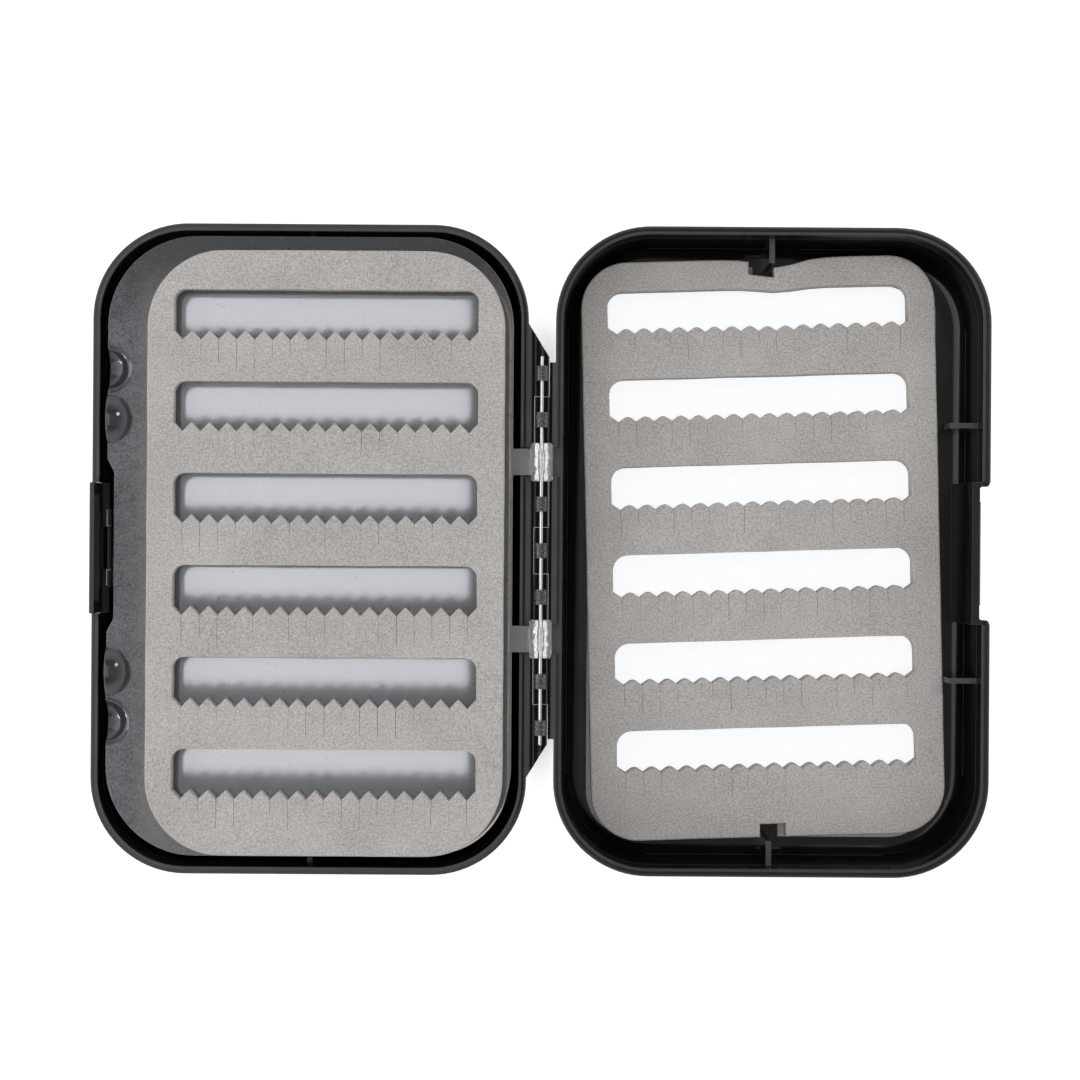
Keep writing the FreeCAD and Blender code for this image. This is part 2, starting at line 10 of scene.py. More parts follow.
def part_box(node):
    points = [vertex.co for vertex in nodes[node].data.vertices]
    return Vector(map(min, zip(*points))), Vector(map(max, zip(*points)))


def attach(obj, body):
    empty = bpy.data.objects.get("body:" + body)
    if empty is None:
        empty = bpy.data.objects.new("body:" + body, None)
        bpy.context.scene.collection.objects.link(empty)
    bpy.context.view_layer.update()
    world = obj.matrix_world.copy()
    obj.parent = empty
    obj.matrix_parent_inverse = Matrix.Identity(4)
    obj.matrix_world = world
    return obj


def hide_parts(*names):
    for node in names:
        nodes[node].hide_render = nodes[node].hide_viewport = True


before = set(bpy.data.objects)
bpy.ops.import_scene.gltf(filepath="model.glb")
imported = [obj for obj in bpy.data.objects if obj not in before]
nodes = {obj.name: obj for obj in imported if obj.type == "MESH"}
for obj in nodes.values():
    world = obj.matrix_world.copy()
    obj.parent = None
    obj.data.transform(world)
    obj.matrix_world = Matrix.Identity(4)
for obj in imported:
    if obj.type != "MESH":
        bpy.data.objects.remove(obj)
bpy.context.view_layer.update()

# Base and lid shells. Two shallow trays injection moulded in black plastic with a fine
# spark-eroded grain, cut through in the floor for a window. The base has a raised lip that
# enters a rebate in the lid, and both carry the hinge knuckles along their inner wall.
mm = 0.001
# The polished black also paints shade into the hinge trough, the foot of the lip and the latch recess.
polished_and_shade_colour = (0.0035, 0.0036, 0.0039, 1)
grained_colour = (0.024, 0.0245, 0.027, 1)
scuffed_colour = (0.052, 0.0535, 0.058, 1)
# The worn grey is a painted highlight along sharp edges, and wear on the knuckles' bridges.
wear_and_highlight_colour = (0.1, 0.102, 0.108, 1)
plastic_index = 1.53
plastic_grain = 0.34 * mm
plastic_grain_depth = 0.03 * mm
plastic_edge_round = 0.18 * mm
plastic_patch = 9 * mm
patch_scuffs = (0.35, 0.75, 0, 0.45)
grain_scuffs = (0.35, 0.7, 0, 0.55)
edge_highlight_breakup = (0.3, 0.6, 0.35, 1)
bridge_wear = (0.45, 0.6, 0, 1)
grained_roughness = (0.62, 0.5)
polished_roughness = (0.3, 0.7, 0.14, 0.22)
mirror_roughness = 0.05
grain_strength = 0.6
polished_strength = 0.06

# Where the mould is polished: inside the trays and on the knuckles' bridges. Painted shade, in
# the same dark polished colour with a near-mirror gloss: in the hinge trough and a band of the
# flange beside it, along the foot of the rim's lip and in the recess of the latch.
tray_middle = (53.35 * mm, 0, 0)
tray_core = (28.25 * mm, 53 * mm, 0)
inside_heights = (2.1 * mm, 17.9 * mm)
fillet_heights = (2.4 * mm, 5.4 * mm)
fillet_reach = (18.2 * mm, 19.2 * mm)
wall_heights = (5.4 * mm, 18 * mm)
wall_lean = 1.15 * mm
rib_top = 13.65 * mm
mask_margin = 0.1 * mm
recess_faces = (97 * mm, 103 * mm)
recess_half = 16.6 * mm
recess_fade = (10.6 * mm, 13 * mm)
recess_shade_share = 0.8
trough_half = 2.4 * mm
trough_heights = (17.4 * mm, 18.4 * mm)
bridge_height = 18.9 * mm
bridge_polish = 0.7
lip_face = 21 * mm
shoulder_dark = 0.35 * mm
shoulder_width = 0.85 * mm
shoulder_height = 17.2 * mm
hinge_half = 1 * mm
lid_shoulder_shade = 0.8


def new_finish(name, **sockets):
    """A material with one Principled shader, whose plain values are given by socket."""
    material = bpy.data.materials.new(name)
    material.use_nodes = True
    shader = material.node_tree.nodes["Principled BSDF"]
    for socket, value in sockets.items():
        shader.inputs[socket.replace("_", " ")].default_value = value
    return material, material.node_tree, shader


def shader_node(tree, kind, sockets=None, **settings):
    """A shader node with its settings, its sockets set to values or linked to other sockets."""
    made = tree.nodes.new("ShaderNode" + kind)
    for name, value in settings.items():
        setattr(made, name, value)
    for key, value in (sockets or {}).items():
        if isinstance(value, bpy.types.NodeSocket):
            tree.links.new(value, made.inputs[key])
        else:
            made.inputs[key].default_value = value
    return made


def feed(tree, shader, **sockets):
    """Links results to the shader's sockets."""
    for socket, result in sockets.items():
        tree.links.new(result, shader.inputs[socket.replace("_", " ")])


def place_of(tree):
    """The point on the piece, in metres."""
    return shader_node(tree, "TexCoord").outputs["Object"]


def parts_of(tree, vector):
    return shader_node(tree, "SeparateXYZ", {"Vector": vector}).outputs


def grain(tree, place, size, detail=2.0, stretch=None):
    """Cloudy noise from 0 to 1 whose spots are about one size across."""
    if stretch:
        place = shader_node(tree, "Mapping", {"Vector": place, "Scale": stretch}).outputs["Vector"]
    sockets = {"Vector": place, "Scale": 1 / size, "Detail": detail}
    return shader_node(tree, "TexNoise", sockets).outputs["Fac"]


def remap(tree, value, low, high, to_low=0, to_high=1):
    """A value moved from one range to another, and held there."""
    sockets = {"Value": value, "From Min": low, "From Max": high, "To Min": to_low, "To Max": to_high}
    return shader_node(tree, "MapRange", sockets).outputs["Result"]


def mixed(tree, share, first, second):
    """Two colours mixed by a share."""
    sockets = {0: share, 6: first, 7: second}
    return shader_node(tree, "Mix", sockets, data_type="RGBA").outputs[2]


def blend(tree, share, first, second):
    """Two numbers mixed by a share."""
    return shader_node(tree, "Mix", {0: share, 2: first, 3: second}).outputs[0]


def sums(tree, operation, first, second):
    return shader_node(tree, "Math", {0: first, 1: second}, operation=operation).outputs["Value"]


def both(tree, first, second):
    return sums(tree, "MULTIPLY", first, second)


def either(tree, first, second):
    return sums(tree, "MAXIMUM", first, second)


def above(tree, value, limit):
    return sums(tree, "GREATER_THAN", value, limit)


def below(tree, value, limit):
    return sums(tree, "LESS_THAN", value, limit)


def within(tree, value, low, high):
    """1 where a value lies between two limits, else 0."""
    return both(tree, above(tree, value, low), below(tree, value, high))


def along(tree, operation, first, second=(0, 0, 0)):
    """A sum on vectors, whose result is a vector or, for a length or a product, a number."""
    made = shader_node(tree, "VectorMath", {0: first, 1: second}, operation=operation)
    number = operation in ("LENGTH", "DISTANCE", "DOT_PRODUCT")
    return made.outputs["Value" if number else "Vector"]


def raised(tree, height, depth, strength, over=None):
    """A normal that follows a height from 0 to 1."""
    sockets = {"Height": height, "Distance": depth, "Strength": strength}
    if over:
        sockets["Normal"] = over
    return shader_node(tree, "Bump", sockets).outputs["Normal"]


def rounded_normal(tree, radius, samples):
    """A normal that runs smoothly round the edges."""
    return shader_node(tree, "Bevel", {"Radius": radius}, samples=samples).outputs["Normal"]


def plain_normal(tree):
    return shader_node(tree, "NewGeometry").outputs["Normal"]


def edge_highlight_mask(tree, edge_normal):
    """1 on sharp outer and inner edges, 0 on flats, from a normal that runs round the edges. It marks where
    a highlight is painted.
    """
    sharp_agreement, flat_agreement = 0.8, 0.98
    agreement = along(tree, "DOT_PRODUCT", edge_normal, plain_normal(tree))
    return remap(tree, agreement, sharp_agreement, flat_agreement, 1, 0)


def dress(finish, *names):
    for name in names:
        nodes[name].material_slots[0].material = finish


black_plastic, tree, shader = new_finish("black_plastic", IOR=plastic_index)
place = place_of(tree)
patches = grain(tree, place, plastic_patch, 4)
fine = grain(tree, place, plastic_grain, 3)
folded = along(tree, "ABSOLUTE", place)
x, y, z = parts_of(tree, folded)
level = along(tree, "MULTIPLY", folded, (1, 1, 0))
from_middle = along(tree, "ABSOLUTE", along(tree, "SUBTRACT", level, tray_middle))
past_core = along(tree, "MAXIMUM", along(tree, "SUBTRACT", from_middle, tray_core))
reach = along(tree, "LENGTH", past_core)

inner_wall = sums(
    tree, "ADD", remap(tree, z, *fillet_heights, *fillet_reach), remap(tree, z, *wall_heights, 0, wall_lean)
)
inside = both(tree, below(tree, reach, inner_wall), within(tree, z, *inside_heights))
rib_tops = both(tree, inside, within(tree, z, rib_top - mask_margin, rib_top + mask_margin))
inside = sums(tree, "SUBTRACT", inside, rib_tops)

# Painted shade: the latch recess from partway up, the hinge trough with a band of flange beside it, and the
# foot of the rim's lip, a little less on the lid.
recess = both(tree, within(tree, x, *recess_faces), below(tree, y, recess_half))
recess = both(tree, recess, remap(tree, z, *recess_fade))
at_axis = below(tree, x, trough_half)
trough = both(tree, at_axis, within(tree, z, *trough_heights))
bridge = both(tree, at_axis, above(tree, z, bridge_height))
shoulder = remap(tree, reach, lip_face + shoulder_dark, lip_face + shoulder_width, 1, 0)
shoulder = both(tree, shoulder, above(tree, reach, lip_face - mask_margin))
shoulder = both(tree, shoulder, above(tree, z, shoulder_height))
from_hinge = parts_of(tree, place)["X"]
on_lid = remap(tree, from_hinge, -hinge_half, hinge_half, 1, lid_shoulder_shade)
shoulder = both(tree, shoulder, on_lid)

shaded = either(tree, trough, shoulder)
shaded = either(tree, shaded, both(tree, bridge, bridge_polish))
shaded = either(tree, shaded, both(tree, recess, recess_shade_share))
polished_and_shaded = either(tree, inside, shaded)

scuffs = sums(tree, "ADD", remap(tree, patches, *patch_scuffs), remap(tree, fine, *grain_scuffs))
edges = rounded_normal(tree, plastic_edge_round, 4)
# Painted highlight: a pale, broken line along sharp edges, kept off the shaded foot of the lip; the bridges
# get wear spots.
wear_and_highlight = both(tree, edge_highlight_mask(tree, edges), remap(tree, fine, *edge_highlight_breakup))
wear_and_highlight = both(tree, wear_and_highlight, remap(tree, shoulder, 0, 1, 1, 0))
wear_and_highlight = either(tree, wear_and_highlight, both(tree, bridge, remap(tree, fine, *bridge_wear)))
moulded_and_painted_light = mixed(tree, scuffs, grained_colour, scuffed_colour)
moulded_and_painted_light = mixed(tree, polished_and_shaded, moulded_and_painted_light, polished_and_shade_colour)
matt = remap(tree, scuffs, 0, 1, *grained_roughness)
gloss = remap(tree, patches, *polished_roughness)
gloss = blend(tree, shaded, gloss, mirror_roughness)
relief = remap(tree, polished_and_shaded, 0, 1, grain_strength, polished_strength)
crisp = shader_node(tree, "Mix", {0: shaded, 4: edges, 5: plain_normal(tree)}, data_type="VECTOR").outputs[1]
feed(
    tree,
    shader,
    Base_Color=mixed(tree, wear_and_highlight, moulded_and_painted_light, wear_and_highlight_colour),
    Roughness=blend(tree, polished_and_shaded, matt, gloss),
    Normal=raised(tree, fine, plastic_grain_depth, relief, crisp),
)
dress(black_plastic, "base_shell", "lid_shell")

# Windows. Two panes of clear acrylic, laid into the seats from outside and welded round the
# edge. They are polished, with a few faint hairlines from use.
acrylic_index = 1.49
acrylic_cool = (0.97, 0.98, 0.99, 1)
acrylic_plain = (0.99, 0.99, 0.99, 1)
acrylic_patch = 30 * mm
hairline_size = 6 * mm
hairline_stretch = (1, 18, 1)
hairline_roughness = (0.45, 0.75, 0.01, 0.06)

clear_acrylic, tree, shader = new_finish("clear_acrylic", Transmission_Weight=1.0, IOR=acrylic_index)
place = place_of(tree)
hairlines = grain(tree, place, hairline_size, 6, hairline_stretch)
feed(
    tree,
    shader,
    Base_Color=mixed(tree, grain(tree, place, acrylic_patch), acrylic_cool, acrylic_plain),
    Roughness=remap(tree, hairlines, *hairline_roughness),
)
dress(clear_acrylic, "base_window", "lid_window")

# Adhesive frames. Thin double-sided film, one frame round the slots of each pad, milky and
# slightly blotched where it has wetted the foam.
film_index = 1.45
film_clearness = 0.2
film_dull = (0.76, 0.74, 0.7, 1)
film_pale = (0.88, 0.86, 0.82, 1)
film_blotch = 2.5 * mm
film_roughness = (0.3, 0.7, 0.25, 0.55)

film, tree, shader = new_finish("adhesive_film", Transmission_Weight=film_clearness, IOR=film_index)
wetting = grain(tree, place_of(tree), film_blotch, 5)
feed(
    tree,
    shader,
    Base_Color=mixed(tree, wetting, film_dull, film_pale),
    Roughness=remap(tree, wetting, *film_roughness),
)
dress(film, "base_pad_tape", "lid_pad_tape", "leaf_front_tape", "leaf_back_tape")

# Foam pads. Four die-cut sheets of grey closed-cell foam, stuck down by the adhesive frames.
# Below every valley of a slot's teeth a knife has slit the foam, so that a hook slides in.
foam_dark = (0.26, 0.247, 0.236, 1)
foam_pale = (0.52, 0.498, 0.481, 1)
stuck_face_light_colour = (0.88, 0.86, 0.83, 1)
foam_index = 1.4
foam_shine = 0.25
foam_cell = 0.42 * mm
foam_speckle = 0.4 * mm
foam_patch = 14 * mm
speckle_tone = (0.32, 0.68, -0.06, 0.68)
patch_tone = (0.3, 0.7, 0, 0.22)
cell_tone = (0.1, 0.8, 0.16, 0)
edge_highlight_tone = 0.3
foam_roughness = (0.3, 0.7, 0.78, 0.95)
cell_share = 0.5
skin_depth = 0.05 * mm
skin_strength = 0.55
foam_highlight_edge = 0.3 * mm
stuck_face = 17.2 * mm
stuck_reach = 0.2 * mm

foam, tree, shader = new_finish("grey_foam", IOR=foam_index, Specular_IOR_Level=foam_shine)
place = place_of(tree)
cells = shader_node(tree, "TexVoronoi", {"Vector": place, "Scale": 1 / foam_cell}).outputs["Distance"]
speckle = grain(tree, place, foam_speckle, 3)
patches = grain(tree, place, foam_patch, 3)
tone = sums(tree, "ADD", remap(tree, speckle, *speckle_tone), remap(tree, patches, *patch_tone))
tone = sums(tree, "ADD", tone, remap(tree, cells, *cell_tone))
# Painted highlight: the foam is lighter along its sharp edges.
edges = rounded_normal(tree, foam_highlight_edge, 4)
tone = sums(tree, "ADD", tone, both(tree, edge_highlight_mask(tree, edges), edge_highlight_tone))
# Painted light: the back pad's face stuck under the leaf is made pale, for the light the frosted leaf
# scatters onto it.
height = parts_of(tree, place)["Z"]
sockets = {0: height, 1: stuck_face, 2: stuck_reach}
stuck_face_light = shader_node(tree, "Math", sockets, operation="COMPARE").outputs["Value"]
skin = sums(tree, "ADD", both(tree, cells, cell_share), speckle)
feed(
    tree,
    shader,
    Base_Color=mixed(tree, stuck_face_light, mixed(tree, tone, foam_dark, foam_pale), stuck_face_light_colour),
    Roughness=remap(tree, speckle, *foam_roughness),
    Normal=raised(tree, skin, skin_depth, skin_strength),
)

# The sheets' shapes: soft edges, slits that stand open by uneven amounts, and the fingers
# between them, which no longer lie quite level.
foam_edge_round = 0.16 * mm
open_face_depth = foam_edge_round * 1.01
foam_rim_round = 0.35 * mm
foam_weld = 0.002 * mm
foam_wave = 0.09 * mm
foam_wave_length = 17 * mm
cut_wander = 0.1 * mm
cut_wander_length = 9 * mm
round_steps = 2
flat_angle = math.radians(1)
sharp_angle = math.radians(60)
slot_rows = 6
slot_valleys = 17
slot_margin = 1 * mm
slit_half_width = 0.06 * mm
slit_edge_reach = slit_half_width * 1.5
slit_depth = 0.5 * mm
slit_least_open = 0.18
slit_more_open = 0.6
slit_evenness = 3
slit_reaches = (0.45, 1.3)
slit_end_pit = 0.25 * mm
slit_wander = 0.13 * mm
slit_wander_length = 2.2 * mm
slit_wander_steps = (3.1, 5.3)
slit_steps = 5
finger_lift = 0.08 * mm
row_step = 4.2 * mm


def slot_layout(near, far, first_top, row_pitch, clear, tooth):
    """Where a pad's slots lie, from their two ends, the first slot's top, the step between
    rows, the clear height and the height of a tooth, in millimetres."""
    near, far, tooth = near * mm, far * mm, tooth * mm
    tops = [first_top * mm - row * (row_pitch * mm) for row in range(slot_rows)]
    pitch = (far - near) / slot_valleys
    return SimpleNamespace(
        near=near,
        far=far,
        tooth=tooth,
        pitch=pitch,
        tops=tops,
        middles=[top - clear * mm / 2 for top in tops],
        tips=[top - clear * mm for top in tops],
        roots=[top - clear * mm - tooth for top in tops],
        valleys=[near + (count + 0.5) * pitch for count in range(slot_valleys)],
    )


def cut_across(bm, axis, at):
    """Edges across the whole mesh where a plane crosses it."""
    point = Vector((0, 0, 0))
    point[axis] = at
    facing = Vector((0, 0, 0))
    facing[axis] = 1
    geometry = bm.verts[:] + bm.edges[:] + bm.faces[:]
    made = bmesh.ops.bisect_plane(bm, geom=geometry, dist=foam_weld, plane_co=point, plane_no=facing)
    return [part for part in made["geom_cut"] if isinstance(part, bmesh.types.BMEdge)]


def round_edges(bm, edges, size):
    bmesh.ops.bevel(
        bm,
        geom=edges,
        offset=size,
        segments=round_steps,
        profile=0.5,
        affect="EDGES",
        material=-1,
        clamp_overlap=True,
    )


def plain_sheet(node_name, slots):
    """The pad's solid as a mesh of large flat faces, split along the middle of each slot."""
    bm = bmesh.new()
    bm.from_mesh(nodes[node_name].data)
    bmesh.ops.remove_doubles(bm, verts=bm.verts[:], dist=foam_weld)
    for middle in slots.middles:
        for edge in cut_across(bm, 1, middle):
            edge.seam = True
    bmesh.ops.dissolve_limit(
        bm, angle_limit=flat_angle, verts=bm.verts[:], edges=bm.edges[:], delimit={"SEAM"}
    )
    return bm


def round_teeth(bm, slots, tip_round):
    tips = []
    for edge in bm.edges:
        first, second = (vert.co for vert in edge.verts)
        spot = (first + second) / 2
        upright = abs(first.z - second.z) > foam_edge_round
        at_tip = min(abs(spot.y - tip) for tip in slots.tips) < foam_edge_round
        if upright and at_tip and slots.near + foam_edge_round < spot.x < slots.far - foam_edge_round:
            tips.append(edge)
    round_edges(bm, tips, tip_round)


def round_rims(bm, slots):
    """Rounds the sheet's level edges, more at the outer rim than at the slots."""
    outer_rim = []
    slot_rims = []
    for edge in bm.edges:
        first, second = (vert.co for vert in edge.verts)
        if abs(first.z - second.z) < foam_weld and edge.calc_face_angle(0) > sharp_angle:
            spot = (first + second) / 2
            across = slots.near - slot_margin < spot.x < slots.far + slot_margin
            along_sheet = slots.roots[-1] - slot_margin < spot.y < slots.tops[0] + slot_margin
            (slot_rims if across and along_sheet else outer_rim).append(edge)
    round_edges(bm, slot_rims, foam_edge_round)
    round_edges(bm, [edge for edge in outer_rim if edge.is_valid], foam_rim_round)


def cut_slits(bm, slots, slit_length):
    """Edges along and across the slits, for their shapes to follow."""
    for valley in slots.valleys:
        for side in (-1, 0, 1):
            cut_across(bm, 0, valley + side * slit_half_width)
    for root in slots.roots:
        for side in (-1, 0, 1):
            cut_across(bm, 1, root - slit_length + side * slit_half_width)
        for step in range(1, slit_steps):
            cut_across(bm, 1, root - slit_length * step / slit_steps)


def work_row(vert, slots, row, slit_length, facing, seed, uneven):
    """Lifts a point of one row's fingers, or sinks it into a slit that stands open."""
    x, y = vert.co.xy
    root = slots.roots[row]
    end = root - slit_length
    if not end - slit_half_width / 2 < y < root + slots.tooth + slit_half_width:
        return
    share = (y - end) / (slit_length + slots.tooth)
    if share > 0 and slots.near - slit_half_width < x < slots.far + slit_half_width:
        finger = math.floor((x - slots.near) / slots.pitch + 0.5)
        lift = uneven.fingers[row][min(max(finger, 0), slot_valleys)]
        vert.co.z += facing * finger_lift * lift * share * share
    slit = round((x - slots.near) / slots.pitch - 0.5)
    if not 0 <= slit < slot_valleys:
        return
    aside = abs(x - slots.valleys[slit])
    open_from = root - uneven.reaches[row][slit] * slit_length
    if aside < slit_half_width / 2 and open_from < y < root + foam_edge_round:
        opening = slit_least_open + slit_more_open * uneven.slits[row][slit] ** slit_evenness
        vert.co.z -= facing * slit_depth * opening
        if abs(y - end) < slit_half_width / 2:
            vert.co.z -= facing * slit_end_pit
    if aside < slit_edge_reach:
        by_slit, by_row = slit_wander_steps
        spot = Vector((slit * by_slit + seed, row * by_row, y / slit_wander_length))
        bend = noise.noise(spot) + uneven.slits[row][slit - 1] - 0.5
        vert.co.x += slit_wander * bend * (1 - share)


def foam_sheet(node_name, slots, slit_length, tip_round, seed, facing=1):
    """A pad's mesh from its solid, whose open face looks up (1) or down (-1)."""
    draw = random.Random(seed)
    noise.seed_set(seed)
    low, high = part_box(node_name)
    bm = plain_sheet(node_name, slots)
    round_teeth(bm, slots, tip_round)
    round_rims(bm, slots)
    bmesh.ops.triangulate(bm, faces=bm.faces[:])
    cut_slits(bm, slots, slit_length)
    for step in range(1, int((high.y - low.y) / row_step)):
        cut_across(bm, 1, low.y + step * row_step)
    rows = range(slot_rows)
    uneven = SimpleNamespace()
    uneven.fingers = [[draw.gauss(0, 1) for count in range(slot_valleys + 1)] for row in rows]
    uneven.slits = [[draw.random() for count in range(slot_valleys)] for row in rows]
    uneven.reaches = [[draw.uniform(*slit_reaches) for count in range(slot_valleys)] for row in rows]
    middle_z = (low.z + high.z) / 2
    open_z = high.z if facing > 0 else low.z
    for vert in bm.verts:
        z = vert.co.z
        if abs(z - open_z) < open_face_depth:
            for row in rows:
                work_row(vert, slots, row, slit_length, facing, seed, uneven)
        if (z - middle_z) * facing > 0:
            vert.co.z += foam_wave * noise.noise(vert.co / foam_wave_length + Vector((seed, 0, 0)))
        drift = noise.noise_vector(vert.co / cut_wander_length + Vector((0, seed, 0)))
        vert.co.x += cut_wander * drift.x
        vert.co.y += cut_wander * drift.y
    return bm


def make_pad(name, bm, node_name, body):
    """The finished pad, riding on its body in place of its plain solid."""
    mesh = bpy.data.meshes.new(name)
    bm.to_mesh(mesh)
    bm.free()
    mesh.materials.append(foam)
    pad = bpy.data.objects.new(name, mesh)
    bpy.context.scene.collection.objects.link(pad)
    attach(pad, body)
    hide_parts(node_name)


base_slots = slot_layout(-87.8, -16.9, 60.9, 20.98, 8.5, 1.5)
lid_slots = slot_layout(16.9, 87.8, 61.4, 20.75, 8.5, 1.5)
front_slots = slot_layout(-84.15, -14.6, 59.3, 21.02, 9.4, 2.1)
back_slots = slot_layout(-82.75, -13.2, 58.2, 20.84, 9.4, 2.1)
shell_slit = 6.3 * mm
shell_tip_round = 0.95 * mm
leaf_slit = 6.7 * mm
leaf_tip_round = 0.14 * mm

base_foam = foam_sheet("base_pad", base_slots, shell_slit, shell_tip_round, seed=3)
make_pad("base_foam", base_foam, "base_pad", "base")

# The lid's pad was stuck down a little askew and is squeezed against the rib at its upper end.
lid_pad_slope = math.radians(2.0)
lid_pad_tilt = math.radians(1.55)
lid_pad_lift = 0.9 * mm
buckle_place = (57 * mm, 68.2 * mm)
buckle_width = 6 * mm
buckle_fade = 7 * mm
buckle_push = 2.2 * mm
buckle_rise = 0.5 * mm

lid_foam = foam_sheet("lid_pad", lid_slots, shell_slit, shell_tip_round, seed=5)
low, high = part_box("lid_pad")
middle = (low + high) / 2
for vert in lid_foam.verts:
    x, y, z = vert.co
    away = (x - buckle_place[0]) / buckle_width
    squeeze = math.exp(-away * away - max(buckle_place[1] - y, 0) / buckle_fade)
    vert.co.x = x - (y - middle.y) * math.sin(lid_pad_tilt)
    vert.co.y = y + (x - middle.x) * math.sin(lid_pad_slope) + lid_pad_lift - buckle_push * squeeze
    if z > middle.z:
        vert.co.z = z + buckle_rise * squeeze
make_pad("lid_foam", lid_foam, "lid_pad", "lid")

front_foam = foam_sheet("leaf_front_pad", front_slots, leaf_slit, leaf_tip_round, seed=7)
make_pad("leaf_front_foam", front_foam, "leaf_front_pad", "leaf")
back_foam = foam_sheet("leaf_back_pad", back_slots, leaf_slit, leaf_tip_round, seed=9, facing=-1)
make_pad("leaf_back_foam", back_foam, "leaf_back_pad", "leaf")

# Swing leaf. A plate of clear plastic, frosted by the mould but for the field under the pads'
# slots, with two arms that reach the hinge pin. Its half domes for the fingertips and its two
# knuckles are left polished.
leaf_index = 1.5
leaf_clearness = 0.9
frost_dark = (0.2, 0.21, 0.24, 1)
frost_pale = (0.92, 0.95, 1, 1)
beside_pad_light_colour = (0.86, 0.84, 0.81, 1)
arm_colour = (0.9, 0.92, 0.95, 1)
dome_colour = (0.26, 0.27, 0.3, 1)
field_dark = (0.64, 0.655, 0.69, 1)
field_pale = (0.69, 0.705, 0.74, 1)
bright_colour = (0.95, 0.96, 0.97, 1)
frost_size = 0.38 * mm
frost_depth = 0.06 * mm
frost_strength = 0.6
smooth_strength = 0.03
mottle_size = 3.2 * mm
mottle_share = 0.25
cloudy_range = (0.36, 0.64)
ripple_size = 1.3 * mm
ripple_depth = 0.4 * mm
ripple_strength = 0.7
frosted_roughness = (0.3, 0.7, 0.27, 0.33)
dome_roughness = 0.07
knuckle_roughness = 0.16
edge_glint = (0.35, 0.6, 0.4, 1)
leaf_edge_round = 0.4 * mm

leaf_middle = (0, 0.6 * mm, 0)
raised_dome = (99.85 * mm, 29.1 * mm, 0)
sunk_dome = (99.85 * mm, 40.5 * mm, 0)
dome_rim = (5.5 * mm, 5.8 * mm)
knuckle_start = (-3.2 * mm, -2.8 * mm)
arm_start = (-7.2 * mm, -6.4 * mm)
arm_share = 0.6
slots_across = (-86 * mm, -13 * mm)
slots_along = (-66 * mm, 61.5 * mm)
top_shade_span = (48 * mm, 69 * mm)
top_shade_share = 0.75
beside_pad = (-94 * mm, -90 * mm)
beside_pad_end = (52 * mm, 66 * mm)
beside_pad_light_share = 0.6

frosted, tree, shader = new_finish("frosted_leaf", IOR=leaf_index, Transmission_Weight=leaf_clearness)
place = place_of(tree)
x, y = parts_of(tree, place)[:2]
frost = grain(tree, place, frost_size, 3)
mottle = grain(tree, place, mottle_size, 4)
ripple = grain(tree, place, ripple_size, 2)
level = along(tree, "MULTIPLY", along(tree, "SUBTRACT", place, leaf_middle), (1, 1, 0))
folded = along(tree, "ABSOLUTE", level)
to_raised = along(tree, "DISTANCE", folded, raised_dome)
to_dome = sums(tree, "MINIMUM", to_raised, along(tree, "DISTANCE", folded, sunk_dome))
on_dome = remap(tree, to_dome, *dome_rim, 1, 0)
on_knuckle = remap(tree, x, *knuckle_start)
clear = either(tree, on_dome, on_knuckle)
under_slots = both(tree, within(tree, x, *slots_across), within(tree, y, *slots_along))

cloudy = sums(tree, "ADD", both(tree, mottle, mottle_share), both(tree, frost, 1 - mottle_share))
cloudy = remap(tree, cloudy, *cloudy_range)
# Painted shade: the margin darkens towards the leaf's upper end.
top_shaded = sums(tree, "SUBTRACT", cloudy, remap(tree, y, *top_shade_span, 0, top_shade_share))
margin = mixed(tree, either(tree, top_shaded, 0), frost_dark, frost_pale)
# Painted light: a pale band beside the front pad's outer edge, fading out towards the upper end, in place of
# the lit base pad seen through the frost.
beside_pad_light = both(tree, remap(tree, x, *beside_pad, 0, beside_pad_light_share), remap(tree, y, *beside_pad_end, 1, 0))
margin = mixed(tree, beside_pad_light, margin, beside_pad_light_colour)
margin = mixed(tree, remap(tree, x, *arm_start, 0, arm_share), margin, arm_colour)
margin = mixed(tree, on_dome, margin, dome_colour)
moulded_and_painted_light = mixed(tree, under_slots, margin, mixed(tree, cloudy, field_dark, field_pale))
# Painted highlight: a pale line along the leaf's sharp edges, broken up by the mottle; the knuckles take the
# same pale colour.
edges = rounded_normal(tree, leaf_edge_round, 6)
bright = both(tree, edge_highlight_mask(tree, edges), remap(tree, mottle, *edge_glint))
bright = either(tree, bright, on_knuckle)

haze = remap(tree, mottle, *frosted_roughness)
polish = remap(tree, on_knuckle, 0, 1, dome_roughness, knuckle_roughness)
smooth = either(tree, clear, under_slots)
grit_strength = remap(tree, smooth, 0, 1, frost_strength, smooth_strength)
grit = raised(tree, frost, frost_depth, grit_strength, edges)
rippled = remap(tree, on_knuckle, 0, 1, 0, ripple_strength)
feed(
    tree,
    shader,
    Base_Color=mixed(tree, bright, moulded_and_painted_light, bright_colour),
    Roughness=blend(tree, clear, haze, polish),
    Normal=raised(tree, ripple, ripple_depth, rippled, grit),
)
dress(frosted, "swing_leaf")

# Hinge pin and latch pin. Straight lengths of drawn stainless wire, 1 mm across, with fine
# draw lines along them.
steel_dark = (0.62, 0.575, 0.56, 1)
steel_bright = (0.83, 0.79, 0.775, 1)
draw_line = 0.12 * mm
draw_stretch = (1, 0.02, 1)
steel_roughness = (0.3, 0.7, 0.16, 0.32)

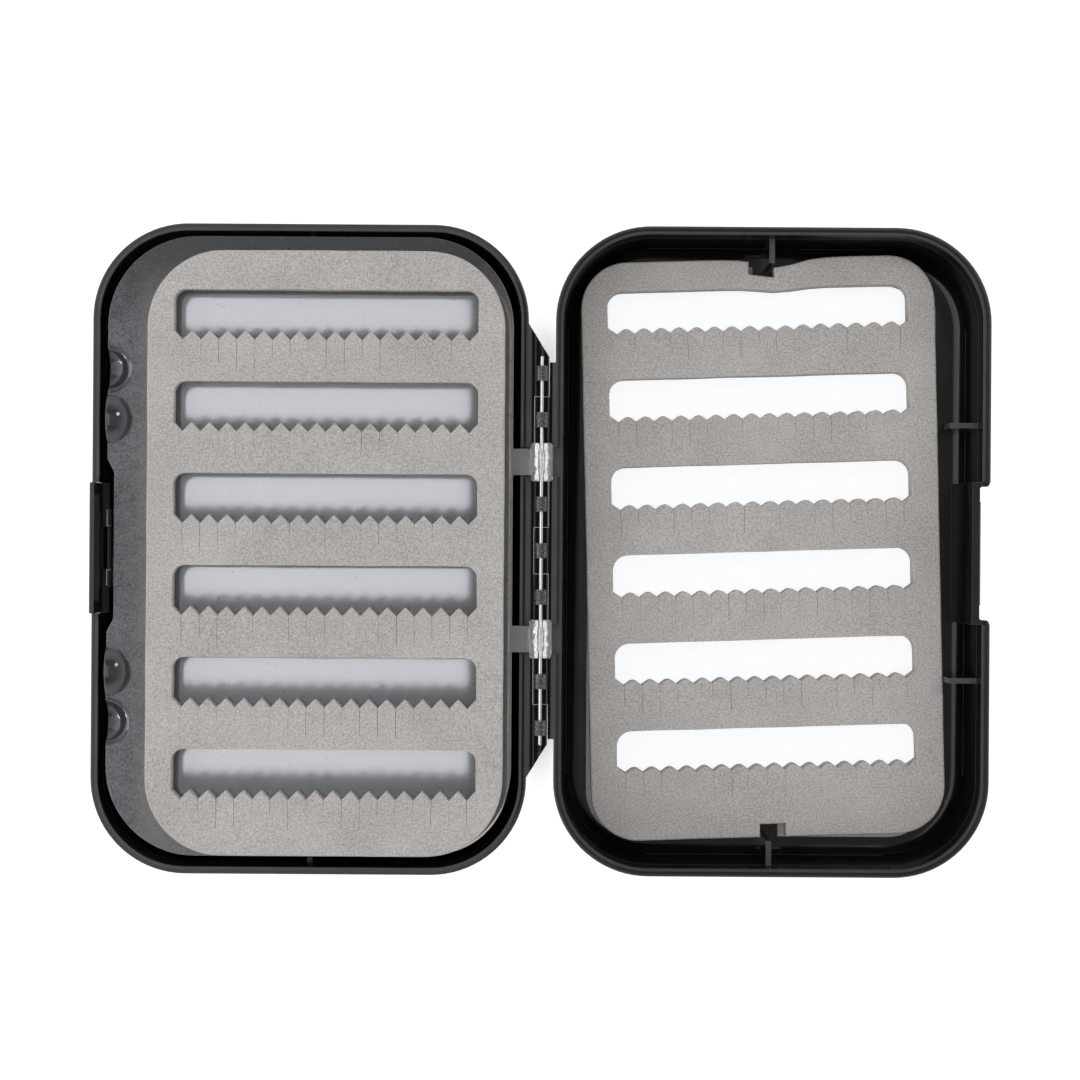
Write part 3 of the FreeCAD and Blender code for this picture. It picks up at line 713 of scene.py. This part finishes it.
steel, tree, shader = new_finish("steel_wire", Metallic=1.0)
drawn = grain(tree, place_of(tree), draw_line, 3, draw_stretch)
feed(
    tree,
    shader,
    Base_Color=mixed(tree, drawn, steel_dark, steel_bright),
    Roughness=remap(tree, drawn, *steel_roughness),
)
dress(steel, "hinge_pin", "latch_pin")

# Latch tab. A separate black moulding in the same plastic as the shells, turning on its own
# short wire in the base's front wall.
# Where it lies in the latch recess it also takes the painted shade of the recess.
dress(black_plastic, "latch_tab")

# Table, lamps and camera. A white table under two soft side lamps and two bulbs, seen straight
# from above. The table shows as plain white, behind the windows too, but stays dark in the
# narrow gaps between the shells, and takes the box's soft shadow.
table_size = 6.0
table_drop = 0.2 * mm
table_colour = (0.25, 0.25, 0.25, 1)
table_glow = (0.94, 0.945, 0.955, 1)
table_roughness = 0.9
seen_through = 0.5
gap_reach = 25 * mm
gap_openness = (0.015, 0.05)

white_table, tree, shader = new_finish(
    "white_table",
    Base_Color=table_colour,
    Roughness=table_roughness,
    Specular_IOR_Level=0,
    Emission_Color=table_glow,
)
path = shader_node(tree, "LightPath").outputs
mirrored = either(tree, path["Is Glossy Ray"], both(tree, path["Is Transmission Ray"], seen_through))
openness = shader_node(tree, "AmbientOcclusion", {"Distance": gap_reach}, samples=8).outputs["AO"]
in_the_open = both(tree, path["Is Camera Ray"], remap(tree, openness, *gap_openness))
feed(tree, shader, Emission_Strength=either(tree, mirrored, in_the_open))

bm = bmesh.new()
bmesh.ops.create_grid(bm, x_segments=1, y_segments=1, size=table_size / 2)
bmesh.ops.translate(bm, verts=bm.verts[:], vec=(0, 0, -table_drop))
mesh = bpy.data.meshes.new("table")
bm.to_mesh(mesh)
bm.free()
mesh.materials.append(white_table)
table = bpy.data.objects.new("table", mesh)
bpy.context.scene.collection.objects.link(table)

sky_dim = 0.05
sky_bright = 1.3
sky_fade = (0.45, 0.82)

world = bpy.data.worlds.new("studio")
bpy.context.scene.world = world
world.use_nodes = True
tree = world.node_tree
sky = tree.nodes["Background"]
sky.inputs["Color"].default_value = (1, 1, 1, 1)
height = parts_of(tree, shader_node(tree, "TexCoord").outputs["Generated"])["Z"]
glow = remap(tree, height, *sky_fade, sky_bright, sky_dim)
feed(tree, sky, Strength=either(tree, glow, shader_node(tree, "LightPath").outputs["Is Camera Ray"]))

lamp_reach = 0.62
lamp_height = 0.7
lamp_size = (0.9, 1.6)
lamp_powers = {-1: 5.4, 1: 1.1}
bulb_places = ((-0.8, -0.29, 0.28), (0.38, 0.35, 0.74))
bulb_size = (0.17, 0.17)
bulb_power = 1.1


def hang_lamp(name, place, size, power):
    """A flat lamp that faces the box."""
    lamp = bpy.data.lights.new(name, "AREA")
    lamp.shape = "RECTANGLE"
    lamp.size, lamp.size_y = size
    lamp.energy = power
    holder = bpy.data.objects.new(name, lamp)
    holder.location = place
    holder.rotation_euler = Vector(place).to_track_quat("Z", "Y").to_euler()
    bpy.context.scene.collection.objects.link(holder)


for side, power in lamp_powers.items():
    hang_lamp("side_lamp", (side * lamp_reach, 0, lamp_height), lamp_size, power)
for bulb_place in bulb_places:
    hang_lamp("bulb", bulb_place, bulb_size, bulb_power)

camera_place = (-0.26 * mm, 2.45 * mm, 468 * mm)
camera_roll = 0.0065
camera_lens = 65.09
camera_near = 10 * mm

camera = bpy.data.objects.new("camera", bpy.data.cameras.new("camera"))
camera.location = camera_place
camera.rotation_euler.z = camera_roll
camera.data.lens = camera_lens
camera.data.clip_start = camera_near
bpy.context.scene.collection.objects.link(camera)
bpy.context.scene.camera = camera
bpy.context.scene.view_settings.view_transform = "Standard"
